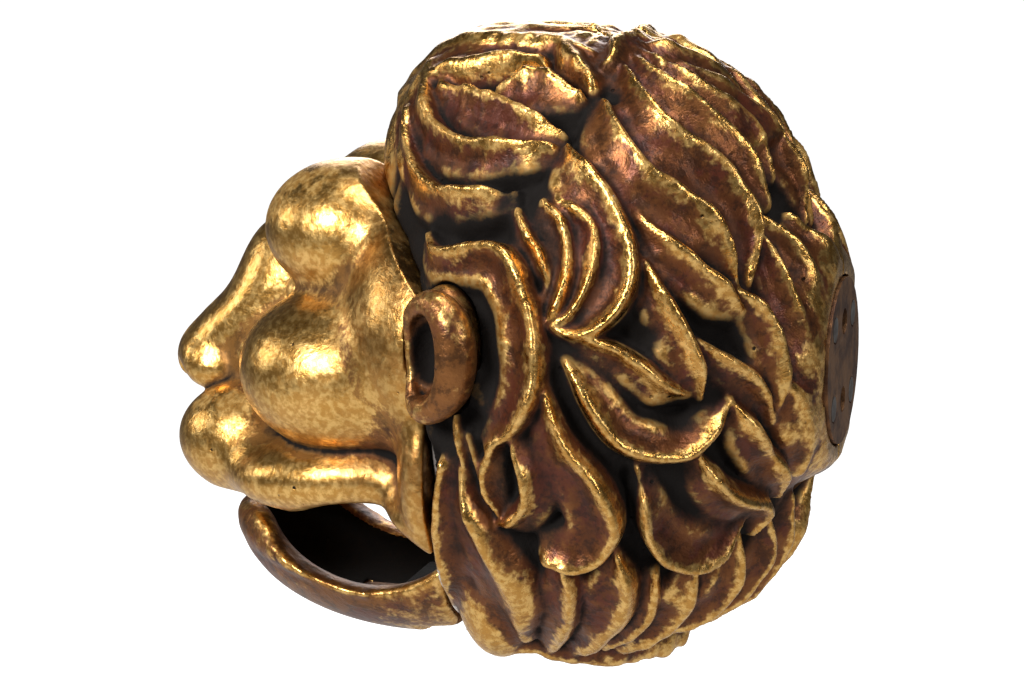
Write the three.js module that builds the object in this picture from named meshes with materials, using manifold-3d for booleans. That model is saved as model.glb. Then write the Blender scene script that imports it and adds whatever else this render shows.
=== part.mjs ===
// Gilded lion's-head door knocker.
//
// Frame, in millimetres: the origin is the centre of the iron back plate, +Y points into the door,
// the lion faces -Y, +Z is up and +X is the lion's left. The head is the same on both sides of X = 0.
//
// The carved wood is a face block pinned to the front of a mane made of two halves. The hollow lower
// jaw turns on a cross pin at the throat. Pulling it down lifts a hammer inside the mane, and the
// hammer falls back on an anvil bar that is fixed to the back plate.

import * as THREE from 'three';
import { mergeVertices } from 'three/addons/utils/BufferGeometryUtils.js';
import Module from 'manifold-3d';

const wasm = await Module();
wasm.setup();

// ---- driving dimensions ----

const JOINT_GAP = 0.3; // between wooden blocks, and round fixed iron
const MANE = { centreY: -57, x: 68, y: 59, z: 75 }; // ball of the mane, centre and half sizes
const BACK_CLEARANCE = 0.6; // the carving stays this far inside the door's surface
const FACE_PLANE_Y = -82; // flat joint between the face and the mane
const FOREHEAD = { z: 18, topY: -112, topZ: 48 }; // where the joint leans forward over the brow
const PIN = { y: -89.5, z: -60, r: 2.5, halfLength: 17 }; // the jaw's axis
const BARREL = { r: 6.5, halfWidth: 11.5 }; // the jaw's knuckle round the pin
const LEVER = { halfWidth: 4, thick: 9, elbowY: -62, elbowZ: -28 };
const HAMMER = { y: -40, z: -28, width: 26, length: 18, height: 16 };
const ANVIL = { halfWidth: 6, tipY: -50, height: 9.7, bendY: -26, footLow: -24, footHigh: -2 };
const STOP_PEG = { y: -58, z: -2, r: 3, halfLength: 24 };
const SLOT = { halfWidth: 16, frontY: -70, backY: -22, low: -50, high: 10 }; // the hammer's chamber
const THROAT = { halfWidth: 6, frontY: -92, low: -68, high: -12 }; // the lever's way into the chamber
const BRACKET = {
  lugX: 14, lug: 4, foot: 3, footOut: 24, low: -64, high: -43, screwX: 20, screwZ: [-58.5, -48.5],
};
const PLATE = { r: 19, thick: 4, screwX: 10.5, screwZ: 9 };
const NUT = { z: 9, size: 8, thick: 5 };
const JAW = { y: -100, z: -45, x: 31, length: 46, depth: 26, wall: 6 };
const JAW_RIM = { y: -107, z: -24.5, r: 31 }; // cylinder that the jaw's rim follows
const MOUTH_ARCH = { y: -103, z: -60, r: 28 }; // cylinder that hollows the roof of the mouth
const EAR = { x: 57, y: -77, z: 9, out: 7, half: 9, tall: 15, hollow: 5.5 };
const DOWEL = { r: 3, face: 9, mane: 8 };

// ---- materials ----

function material(color, roughness, metalness) {
  return new THREE.MeshStandardMaterial({ color, roughness, metalness });
}

const GILT_FACE = material(0xb88a3c, 0.35, 0.8);
const GILT_MANE = material(0x8a5c2e, 0.45, 0.6);
const GILT_JAW = material(0xa97c38, 0.4, 0.7);
const IRON = material(0x3a3633, 0.6, 0.9);
const STEEL = material(0x77706a, 0.4, 1.0);
const BRASS = material(0xb08d45, 0.35, 1.0);
const BARE_WOOD = material(0x9a7a50, 0.8, 0.0);

// ---- closed solids ----

function solid(geometry) {
  const bare = geometry.clone();
  bare.deleteAttribute('normal');
  bare.deleteAttribute('uv');
  const merged = mergeVertices(bare, 1e-4);
  return new wasm.Manifold(new wasm.Mesh({
    numProp: 3,
    vertProperties: new Float32Array(merged.attributes.position.array),
    triVerts: new Uint32Array(merged.index.array),
  }));
}

function geometryOf(body) {
  const mesh = body.getMesh();
  const geometry = new THREE.BufferGeometry();
  geometry.setAttribute('position', new THREE.BufferAttribute(mesh.vertProperties, 3));
  geometry.setIndex(new THREE.BufferAttribute(mesh.triVerts, 1));
  geometry.computeVertexNormals();
  return geometry;
}

function box(low, high) {
  const size = high.map((value, axis) => value - low[axis]);
  const geometry = new THREE.BoxGeometry(...size);
  geometry.translate(...high.map((value, axis) => (value + low[axis]) / 2));
  return solid(geometry);
}

// A cylinder from one end point to the other, along X, Y or Z.
function rod(axis, radius, from, to, sides = 20) {
  const length = to[axis] - from[axis];
  const geometry = new THREE.CylinderGeometry(radius, radius, length, sides);
  if (axis === 0) geometry.rotateZ(-Math.PI / 2);
  if (axis === 2) geometry.rotateX(Math.PI / 2);
  geometry.translate(...from.map((value, i) => (value + to[i]) / 2));
  return solid(geometry);
}

// An ellipsoid; relief gives the share of the radius added in each direction.
function ball(centre, radii, { turns = 16, rows = 10, tilt = 0, relief = null } = {}) {
  const geometry = new THREE.SphereGeometry(1, turns, rows);
  geometry.rotateX(Math.PI / 2);
  const place = geometry.attributes.position;
  const point = new THREE.Vector3();
  for (let i = 0; i < place.count; i += 1) {
    point.fromBufferAttribute(place, i);
    const grow = relief ? 1 + relief(point.x, point.y, point.z) : 1;
    place.setXYZ(i, point.x * radii[0] * grow, point.y * radii[1] * grow, point.z * radii[2] * grow);
  }
  geometry.rotateX(tilt);
  geometry.translate(...centre);
  return solid(geometry);
}

function bothSides(make) {
  return make(1).add(make(-1));
}

// A YZ outline pushed along X, from -halfWidth to +halfWidth.
function slab(points, halfWidth) {
  const shape = new THREE.Shape(points.map(([y, z]) => new THREE.Vector2(y, z)));
  const geometry = new THREE.ExtrudeGeometry(shape, { depth: 2 * halfWidth, bevelEnabled: false });
  geometry.translate(0, 0, -halfWidth);
  geometry.applyMatrix4(new THREE.Matrix4().set(0, 0, 1, 0, 1, 0, 0, 0, 0, 1, 0, 0, 0, 0, 0, 1));
  return solid(geometry);
}

// A countersunk wood screw whose head is flush at (x, y, z); toward is +1 when its point goes to +Y.
function countersunkScrew(x, y, z, toward, { head = 3, shank = 1.5, length = 15 } = {}) {
  const profile = [[0, 0], [head, 0], [shank, 2.2], [shank, length - 3], [0.3, length], [0, length]];
  const geometry = new THREE.LatheGeometry(profile.map(([r, h]) => new THREE.Vector2(r, h)), 10);
  if (toward < 0) geometry.rotateX(Math.PI);
  geometry.translate(x, y, z);
  return solid(geometry);
}

function screwHole(x, y, z, toward) {
  return countersunkScrew(x, y - toward * 0.35, z, toward, { head: 3.65, shank: 1.85, length: 16 });
}

// ---- where the blocks meet ----

const FAR = 200;

// Everything behind the joint between face and mane, moved back by gap.
function behindFace(gap) {
  return slab([
    [FACE_PLANE_Y + gap, -FAR], [FAR, -FAR], [FAR, FAR], [FOREHEAD.topY + gap, FAR],
    [FOREHEAD.topY + gap, FOREHEAD.topZ], [FACE_PLANE_Y + gap, FOREHEAD.z],
  ], FAR);
}

// ---- mane ----

// Locks run down and back from the crown: shallow waves that lean with height.
function lockRelief(x, y, z) {
  const round = Math.atan2(x, -y);
  const height = Math.asin(THREE.MathUtils.clamp(z, -1, 1));
  const fade = Math.cos(height) * Math.min(1, Math.abs(x) * 4);
  const wave = Math.sin(9 * Math.abs(round) + 5 * Math.sin(3 * height));
  return 0.035 * fade * wave;
}

// The lever's way from the jaw up into the hammer's chamber.
function throatSlot() {
  return box(
    [-THROAT.halfWidth, THROAT.frontY, THROAT.low],
    [THROAT.halfWidth, SLOT.frontY + 1, THROAT.high]);
}

function hammerChamber() {
  return box([-SLOT.halfWidth, SLOT.frontY, SLOT.low], [SLOT.halfWidth, SLOT.backY, SLOT.high]);
}

const dowelPlaces = {
  face: [[40, 10], [-40, 10], [24, -32], [-24, -32]],
  mane: [[-66, 48], [-22, 40], [-56, -60]],
};

function maneBlank() {
  let mane = ball([0, MANE.centreY, 0], [MANE.x, MANE.y, MANE.z],
    { turns: 48, rows: 26, relief: lockRelief });
  mane = mane.add(ball([0, -78, 38], [42, 33, 34], { turns: 24, rows: 14 })); // hair over the brow
  mane = mane.add(bothSides((side) => ball([side * 30, -71, -47], [14, 11, 20]))); // locks beside the jaw
  mane = mane.intersect(behindFace(0));
  mane = mane.subtract(box([-FAR, -BACK_CLEARANCE, -FAR], [FAR, FAR, FAR]));
  mane = mane.subtract(hammerChamber());
  mane = mane.subtract(throatSlot());
  mane = mane.subtract(bothSides((side) => bracketFoot(side, JOINT_GAP)));
  mane = mane.subtract(rod(1, PLATE.r + JOINT_GAP, [0, -PLATE.thick - JOINT_GAP, 0], [0, 10, 0], 32));
  mane = mane.subtract(anvilBlank(JOINT_GAP));
  for (const height of [NUT.z, -NUT.z]) mane = mane.subtract(nutBlank(height, JOINT_GAP));
  for (const [x, z] of plateScrewPlaces()) mane = mane.subtract(screwHole(x, 0, z, -1));
  for (const [x, z] of bracketScrewPlaces()) mane = mane.subtract(screwHole(x, FACE_PLANE_Y, z, 1));
  for (const [x, z] of dowelPlaces.face) mane = mane.subtract(faceDowel(x, z, JOINT_GAP));
  for (const [y, z] of dowelPlaces.mane) mane = mane.subtract(maneDowel(y, z, JOINT_GAP));
  mane = mane.subtract(pegBlank(JOINT_GAP));
  mane = mane.subtract(bothSides((side) => earBlank(side, JOINT_GAP)));
  // Room for the back of the jaw below and between the mouth's corners.
  mane = mane.subtract(box([-33, -100, -80], [33, FACE_PLANE_Y + 0.2, -38]));
  return mane;
}

function maneHalf(blank, side) {
  const near = JOINT_GAP / 2;
  const half = side > 0
    ? box([near, -FAR, -FAR], [FAR, FAR, FAR])
    : box([-FAR, -FAR, -FAR], [-near, FAR, FAR]);
  return blank.intersect(half);
}

// ---- ears ----

function earBlank(side, gap) {
  return ball([side * EAR.x, EAR.y, EAR.z],
    [EAR.out + 4 + gap, EAR.half + gap, EAR.tall + gap], { turns: 14, rows: 10 });
}

function ear(side) {
  const cup = ball([side * (EAR.x + 8), EAR.y - 3.5, EAR.z], [EAR.hollow, EAR.hollow, EAR.tall - 5],
    { turns: 12, rows: 8 });
  return earBlank(side, 0).subtract(cup);
}

// ---- face ----

function faceBlock() {
  const forms = [
    ball([0, -84, 5], [55, 31, 42], { turns: 24, rows: 14 }), // skull
    ball([0, -122, -8], [19, 30, 24]), // core of the muzzle
    bothSides((side) => ball([side * 18.5, -110.5, 28], [18, 20.5, 16])), // brows
    bothSides((side) => ball([side * 25, -109, -3.5], [23.5, 26, 19.5])), // cheeks
    bothSides((side) => ball([side * 13, -138, -24.5], [14.5, 18.5, 14])), // upper lip
    bothSides((side) => ball([side * 25, -109, -27], [17.5, 29, 10.5])), // lip band
    bothSides((side) => ball([side * 40, -86, -35], [9, 9, 11])), // corners of the mouth
    bothSides((side) => ball([side * 40, -84, -21], [14, 7.5, 20])), // jowls
    ball([0, -130, 12.5], [12, 15, 16]), // bridge
    ball([0, -155, -6.5], [12.5, 6.5, 6]), // tip of the nose
    ball([0, -142, 2], [13, 24, 9.5], { tilt: 0.63 }), // nose
  ];
  let face = forms.reduce((sum, form) => sum.add(form));
  face = face.subtract(behindFace(-JOINT_GAP));
  face = face.subtract(box([-FAR, -FAR, -FAR], [FAR, -96, -38]));
  face = face.subtract(box([-33, -FAR, -FAR], [33, FAR, -36.5]));
  const { y: archY, z: archZ, r: archR } = MOUTH_ARCH;
  face = face.subtract(rod(0, archR, [-FAR, archY, archZ], [FAR, archY, archZ], 40));
  face = face.subtract(throatSlot());
  for (const [x, z] of dowelPlaces.face) face = face.subtract(faceDowel(x, z, JOINT_GAP));
  face = face.subtract(bothSides((side) => earBlank(side, JOINT_GAP)));
  return face;
}

// ---- lower jaw and its iron work ----

function jawShell() {
  const outside = ball([0, JAW.y, JAW.z], [JAW.x, JAW.length, JAW.depth], { turns: 28, rows: 20 });
  const inside = ball([0, JAW.y, JAW.z],
    [JAW.x - JAW.wall, JAW.length - JAW.wall, JAW.depth - JAW.wall], { turns: 28, rows: 20 });
  const mouth = rod(0, JAW_RIM.r, [-FAR, JAW_RIM.y, JAW_RIM.z], [FAR, JAW_RIM.y, JAW_RIM.z], 48);
  let shell = outside.subtract(inside).subtract(mouth);
  shell = shell.subtract(box([-FAR, -FAR, -40.5], [FAR, FAR, FAR]));
  shell = shell.subtract(box([-FAR, -86, -FAR], [FAR, FAR, FAR]));
  return shell;
}

function lowerJaw() {
  let jaw = jawShell();
  jaw = jaw.subtract(box([-17, -97, -FAR], [17, FAR, FAR]));
  jaw = jaw.add(box([-BARREL.halfWidth, -103, -66.4], [BARREL.halfWidth, PIN.y, -59]));
  jaw = jaw.add(rod(0, BARREL.r, [-BARREL.halfWidth, PIN.y, PIN.z], [BARREL.halfWidth, PIN.y, PIN.z], 28));
  jaw = jaw.subtract(rod(0, 4.1, [-14, PIN.y, PIN.z], [14, PIN.y, PIN.z], 24));
  jaw = jaw.subtract(box([-LEVER.halfWidth - JOINT_GAP, -97, -FAR], [LEVER.halfWidth + JOINT_GAP, FAR, FAR]));
  jaw = jaw.subtract(strapBlank(JOINT_GAP));
  for (const y of STRAP_SCREWS_Y) jaw = jaw.subtract(strapScrew(y, 0.35));
  return jaw;
}

const STRAP = { frontY: -116, low: -66.2, high: -63.2 };
const STRAP_SCREWS_Y = [-104, -111];

function strapBlank(gap) {
  const wide = LEVER.halfWidth + gap;
  return box([-wide, STRAP.frontY - gap, STRAP.low - gap], [wide, PIN.y - 7, STRAP.high + 3 * gap]);
}

// A short screw down through the lever's strap into the floor of the jaw.
function strapScrew(y, grow) {
  const high = STRAP.high;
  return rod(2, 1.2 + grow, [0, y, STRAP.low - 2.4 - grow], [0, y, high], 12)
    .add(rod(2, 2.3 + grow, [0, y, high - 1.2 - grow], [0, y, high], 12));
}

function hammerLever() {
  const half = LEVER.thick / 2;
  const headFront = HAMMER.y - HAMMER.length / 2 - JOINT_GAP;
  let lever = slab([
    [PIN.y + 1, PIN.z - 4.6], [LEVER.elbowY + 3, LEVER.elbowZ - half], [headFront, LEVER.elbowZ - half],
    [headFront, LEVER.elbowZ + half], [LEVER.elbowY - 3, LEVER.elbowZ + half], [PIN.y - 4, PIN.z + 3.5],
  ], LEVER.halfWidth);
  lever = lever.add(rod(0, BARREL.r, [-LEVER.halfWidth, PIN.y, PIN.z], [LEVER.halfWidth, PIN.y, PIN.z], 28));
  lever = lever.add(box([-LEVER.halfWidth, STRAP.frontY, STRAP.low], [LEVER.halfWidth, PIN.y, STRAP.high]));
  lever = lever.subtract(rod(0, PIN.r + 0.1, [-FAR, PIN.y, PIN.z], [FAR, PIN.y, PIN.z], 24));
  for (const y of STRAP_SCREWS_Y) lever = lever.subtract(strapScrew(y, 0.3));
  const tangEnd = HAMMER.y + HAMMER.length / 2;
  return lever.add(rod(1, 3, [0, headFront - 0.5, HAMMER.z], [0, tangEnd, HAMMER.z], 16));
}

function hammerHead() {
  const half = HAMMER.length / 2;
  const head = box(
    [-HAMMER.width / 2, HAMMER.y - half, HAMMER.z - HAMMER.height / 2],
    [HAMMER.width / 2, HAMMER.y + half, HAMMER.z + HAMMER.height / 2]);
  return head.subtract(rod(1, 3 + JOINT_GAP, [0, HAMMER.y - 20, HAMMER.z], [0, HAMMER.y + 20, HAMMER.z], 16));
}

// The washer that the lever's end is burred over, behind the hammer head.
function hammerRivet() {
  const y = HAMMER.y + HAMMER.length / 2 + JOINT_GAP;
  return rod(1, 5, [0, y, HAMMER.z], [0, y + 2, HAMMER.z], 16);
}

function jawBush(side) {
  const inner = LEVER.halfWidth + 2 * JOINT_GAP;
  const low = side > 0 ? inner : -BARREL.halfWidth;
  const high = side > 0 ? BARREL.halfWidth : -inner;
  const tube = rod(0, 3.8, [low, PIN.y, PIN.z], [high, PIN.y, PIN.z], 24);
  return tube.subtract(rod(0, PIN.r + 0.1, [-FAR, PIN.y, PIN.z], [FAR, PIN.y, PIN.z], 24));
}

// ---- fixed iron work ----

function hingePin() {
  return rod(0, PIN.r, [-PIN.halfLength, PIN.y, PIN.z], [PIN.halfLength, PIN.y, PIN.z], 24);
}

function bracketFoot(side, gap) {
  const inner = side * (BRACKET.lugX - BRACKET.lug / 2) - side * gap;
  const outer = side * (BRACKET.footOut + gap);
  return box(
    [Math.min(inner, outer), FACE_PLANE_Y - (gap ? 5 : 0), BRACKET.low - gap],
    [Math.max(inner, outer), FACE_PLANE_Y + BRACKET.foot + gap, BRACKET.high + gap]);
}

function hingeBracket(side) {
  const from = side * BRACKET.lugX - BRACKET.lug / 2;
  const to = from + BRACKET.lug;
  let bracket = bracketFoot(side, 0);
  bracket = bracket.add(box([from, PIN.y, PIN.z - 4], [to, FACE_PLANE_Y + BRACKET.foot, PIN.z + 6]));
  bracket = bracket.add(rod(0, 6, [from, PIN.y, PIN.z], [to, PIN.y, PIN.z], 24));
  bracket = bracket.subtract(rod(0, PIN.r + 0.15, [-FAR, PIN.y, PIN.z], [FAR, PIN.y, PIN.z], 24));
  for (const [x, z] of bracketScrewPlaces()) bracket = bracket.subtract(screwHole(x, FACE_PLANE_Y, z, 1));
  return bracket;
}

function bracketScrewPlaces() {
  return BRACKET.screwZ.flatMap((z) => [[BRACKET.screwX, z], [-BRACKET.screwX, z]]);
}

function plateScrewPlaces() {
  const { screwX: x, screwZ: z } = PLATE;
  return [[x, z], [x, -z], [-x, z], [-x, -z]];
}

// The anvil bar's outline from the side, grown by gap.
function anvilBlank(gap) {
  const top = HAMMER.z - HAMMER.height / 2 - JOINT_GAP;
  const low = top - ANVIL.height;
  const back = -PLATE.thick - JOINT_GAP;
  return slab([
    [ANVIL.tipY - gap, low - gap], [ANVIL.bendY, low - gap], [back + gap, ANVIL.footLow - gap],
    [back + gap, ANVIL.footHigh + gap], [back - ANVIL.height - gap, ANVIL.footHigh + gap],
    [back - ANVIL.height - gap, ANVIL.footLow + gap], [ANVIL.bendY - 2, top + gap],
    [ANVIL.tipY - gap, top + gap],
  ], ANVIL.halfWidth + gap);
}

// The bar the hammer strikes: it runs forward below the hammer and turns up behind the plate.
function anvilBar() {
  let bar = anvilBlank(0);
  bar = bar.subtract(nutBlank(-NUT.z, JOINT_GAP));
  for (const [x, z] of plateScrewPlaces()) bar = bar.subtract(screwHole(x, 0, z, -1));
  return bar;
}

function nutBlank(z, gap) {
  const half = NUT.size / 2 + gap;
  const front = -PLATE.thick - JOINT_GAP;
  return box([-half, front - NUT.thick - gap, z - half], [half, front + gap, z + half]);
}

function captiveNut(z) {
  return nutBlank(z, 0).subtract(rod(1, 2.5, [0, -30, z], [0, 10, z], 16));
}

function backPlate() {
  let plate = rod(1, PLATE.r, [0, -PLATE.thick, 0], [0, 0, 0], 32);
  for (const [x, z] of plateScrewPlaces()) plate = plate.subtract(screwHole(x, 0, z, -1));
  for (const z of [NUT.z, -NUT.z]) plate = plate.subtract(rod(1, 3, [0, -30, z], [0, 10, z], 16));
  return plate;
}

// ---- pegs ----

function faceDowel(x, z, grow) {
  const half = DOWEL.face + grow;
  return rod(1, DOWEL.r + grow, [x, FACE_PLANE_Y - half, z], [x, FACE_PLANE_Y + half, z], 14);
}

function maneDowel(y, z, grow) {
  const half = DOWEL.mane + grow;
  return rod(0, DOWEL.r + grow, [-half, y, z], [half, y, z], 14);
}

function pegBlank(grow) {
  const half = STOP_PEG.halfLength + grow;
  return rod(0, STOP_PEG.r + grow, [-half, STOP_PEG.y, STOP_PEG.z], [half, STOP_PEG.y, STOP_PEG.z], 16);
}

// ---- the assembly ----

const knocker = new THREE.Group();

function addPiece(name, body, look) {
  const mesh = new THREE.Mesh(geometryOf(body), look);
  mesh.name = name;
  knocker.add(mesh);
}

const blank = maneBlank();
for (const [word, side] of [['left', 1], ['right', -1]]) {
  addPiece(`mane_${word}`, maneHalf(blank, side), GILT_MANE);
  addPiece(`ear_${word}`, ear(side), GILT_MANE);
  addPiece(`hinge_bracket_${word}`, hingeBracket(side), IRON);
  addPiece(`jaw_bush_${word}`, jawBush(side), BRASS);
}
addPiece('face_block', faceBlock(), GILT_FACE);
addPiece('lower_jaw', lowerJaw(), GILT_JAW);
addPiece('hinge_pin', hingePin(), STEEL);
addPiece('hammer_lever', hammerLever(), IRON);
addPiece('hammer_head', hammerHead(), IRON);
addPiece('hammer_rivet', hammerRivet(), IRON);
addPiece('anvil_bar', anvilBar(), IRON);
addPiece('back_plate', backPlate(), IRON);
addPiece('upper_captive_nut', captiveNut(NUT.z), STEEL);
addPiece('lower_captive_nut', captiveNut(-NUT.z), STEEL);
addPiece('stop_peg', pegBlank(0), BARE_WOOD);
plateScrewPlaces().forEach(([x, z], i) => {
  addPiece(`plate_screw_${i + 1}`, countersunkScrew(x, 0, z, -1), STEEL);
});
bracketScrewPlaces().forEach(([x, z], i) => {
  addPiece(`bracket_screw_${i + 1}`, countersunkScrew(x, FACE_PLANE_Y, z, 1), STEEL);
});
STRAP_SCREWS_Y.forEach((y, i) => addPiece(`strap_screw_${i + 1}`, strapScrew(y, 0), STEEL));
dowelPlaces.face.forEach(([x, z], i) => addPiece(`face_dowel_${i + 1}`, faceDowel(x, z, 0), BARE_WOOD));
dowelPlaces.mane.forEach(([y, z], i) => addPiece(`mane_dowel_${i + 1}`, maneDowel(y, z, 0), BARE_WOOD));

export default knocker;
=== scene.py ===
"""Looks of the gilded lion's-head door knocker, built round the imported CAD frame.

The carved wood (mane halves, face, ears and jaw) is made as distance fields in millimetres, on a
grid of points, and each field is meshed with openvdb. The iron work, screws, bushes and pegs are the
CAD's own nodes with materials. The origin is the centre of the back plate, +Y goes into the door,
the lion faces -Y, and +X is the lion's left.
"""

import math

import bpy
import numpy as np
import openvdb
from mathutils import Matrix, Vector

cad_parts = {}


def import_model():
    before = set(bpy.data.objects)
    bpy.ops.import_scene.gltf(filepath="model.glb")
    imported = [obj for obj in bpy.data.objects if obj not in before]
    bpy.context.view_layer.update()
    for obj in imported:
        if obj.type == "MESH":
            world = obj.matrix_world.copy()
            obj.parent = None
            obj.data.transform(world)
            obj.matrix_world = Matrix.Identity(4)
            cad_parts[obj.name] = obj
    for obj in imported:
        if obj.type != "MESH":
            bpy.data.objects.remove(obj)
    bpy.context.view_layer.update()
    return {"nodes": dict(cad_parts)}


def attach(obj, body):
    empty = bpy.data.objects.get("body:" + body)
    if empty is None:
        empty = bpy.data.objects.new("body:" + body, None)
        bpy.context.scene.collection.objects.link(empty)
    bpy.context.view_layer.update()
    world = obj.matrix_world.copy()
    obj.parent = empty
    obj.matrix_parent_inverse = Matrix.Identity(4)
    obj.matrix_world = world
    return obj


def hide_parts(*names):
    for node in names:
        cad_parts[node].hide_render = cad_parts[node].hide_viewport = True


MM = 0.001
SEED = 11

# ---- dimensions shared with the CAD, in millimetres ----

JOINT_GAP = 0.3
MANE_CENTRE = (0.0, -57.0, 0.0)
MANE_RADII = (68.0, 59.0, 75.0)
FOREHEAD_BALL = ((0, -76.5, 38), (42, 34, 37))
FACE_PLANE_Y = -82.0
FOREHEAD_LOW_Z = 18.0
FOREHEAD_TOP = (-112.0, 48.0)  # y and z where the leaning joint ends
BACK_Y = -0.6
CHAMBER = ((-16, -70, -50), (16, -22, 10))
THROAT = ((-6, -92, -68), (6, -69, -12))
JAW_ROOM = ((-33, -100, -80), (33, -81.8, -38))
EAR_CENTRE = (57, -77, 9)
EAR_RADII = (11, 9, 15)
EAR_GAP = 0.4
PIN_Y, PIN_Z = -89.5, -60.0
PLATE_RADIUS = 19.0
PLATE_GAP = 0.4
HALF_GAP = 0.03  # between the mane's halves
MOUTH_ARCH = {"radius": 28, "y": -103, "z": -60}
JAW_RIM = {"radius": 31.0, "y": -107, "z": -24.5}
JAW_HOLLOW = ((0, -100, -44.5), (24.5, 39.5, 20))
LOCK_BESIDE_JAW = ((30, -71, -47), (14, 11, 20))
FAR = 200.0

# ---- distance fields ----


def grid(low, high, step):
    """Three broadcastable axes of sample points from low to high."""
    axes = [np.arange(a, b + step, step, dtype=np.float32) for a, b in zip(low, high)]
    return axes[0][:, None, None], axes[1][None, :, None], axes[2][None, None, :]


def ellipsoid(p, centre, radii, tilt=0.0):
    """An ellipsoid, turned by tilt radians about X."""
    x = p[0] - centre[0]
    y = p[1] - centre[1]
    z = p[2] - centre[2]
    if tilt:
        cosine, sine = math.cos(tilt), math.sin(tilt)
        y, z = cosine * y + sine * z, cosine * z - sine * y
    a, b, c = radii
    near = np.sqrt((x / a) ** 2 + (y / b) ** 2 + (z / c) ** 2)
    slope = np.sqrt((x / a**2) ** 2 + (y / b**2) ** 2 + (z / c**2) ** 2)
    return near * (near - 1) / np.maximum(slope, 1e-6)


def box(p, low, high):
    sides = [np.maximum(low[i] - p[i], p[i] - high[i]) for i in range(3)]
    return np.maximum(np.maximum(sides[0], sides[1]), sides[2])


def rod(p, axis, radius, start, end):
    """A cylinder along X, Y or Z."""
    first, second = [i for i in range(3) if i != axis]
    across = np.hypot(p[first] - start[first], p[second] - start[second]) - radius
    along = np.maximum(start[axis] - p[axis], p[axis] - end[axis])
    return np.maximum(across, along)


def tube(p, points, radii):
    """A round tube through the points, with a radius at each."""
    best = None
    for (a, ra), (b, rb) in zip(zip(points, radii), zip(points[1:], radii[1:])):
        step = [b[i] - a[i] for i in range(3)]
        length = sum(s * s for s in step)
        t = sum((p[i] - a[i]) * step[i] for i in range(3)) / length
        t = np.clip(t, 0, 1)
        away = np.sqrt(sum((p[i] - a[i] - t * step[i]) ** 2 for i in range(3)))
        part = away - (ra + (rb - ra) * t)
        best = part if best is None else smooth_min(best, part, 0.8)
    return best


def smooth_min(a, b, blend):
    """Union with a fillet about blend wide."""
    share = np.clip(0.5 + 0.5 * (b - a) / blend, 0, 1)
    return b + (a - b) * share - blend * share * (1 - share)


def smooth_max(a, b, blend):
    return -smooth_min(-a, -b, blend)


def both_sides(p, make):
    return np.minimum(make(p, 1), make(p, -1))


def behind_face(p, gap):
    """Below zero behind the joint between face and mane, with the joint moved back by gap."""
    y, z = p[1], p[2]
    top_y, top_z = FOREHEAD_TOP
    run = (top_z - FOREHEAD_LOW_Z, FACE_PLANE_Y - top_y)
    size = math.hypot(*run)
    flat = FACE_PLANE_Y + gap - y
    lean = -((y - FACE_PLANE_Y - gap) * run[0] + (z - FOREHEAD_LOW_Z) * run[1]) / size
    over = top_y + gap - y
    return np.where(z > FOREHEAD_LOW_Z, np.maximum(np.minimum(flat, lean), over), flat)


# ---- the mane's locks ----

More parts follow.
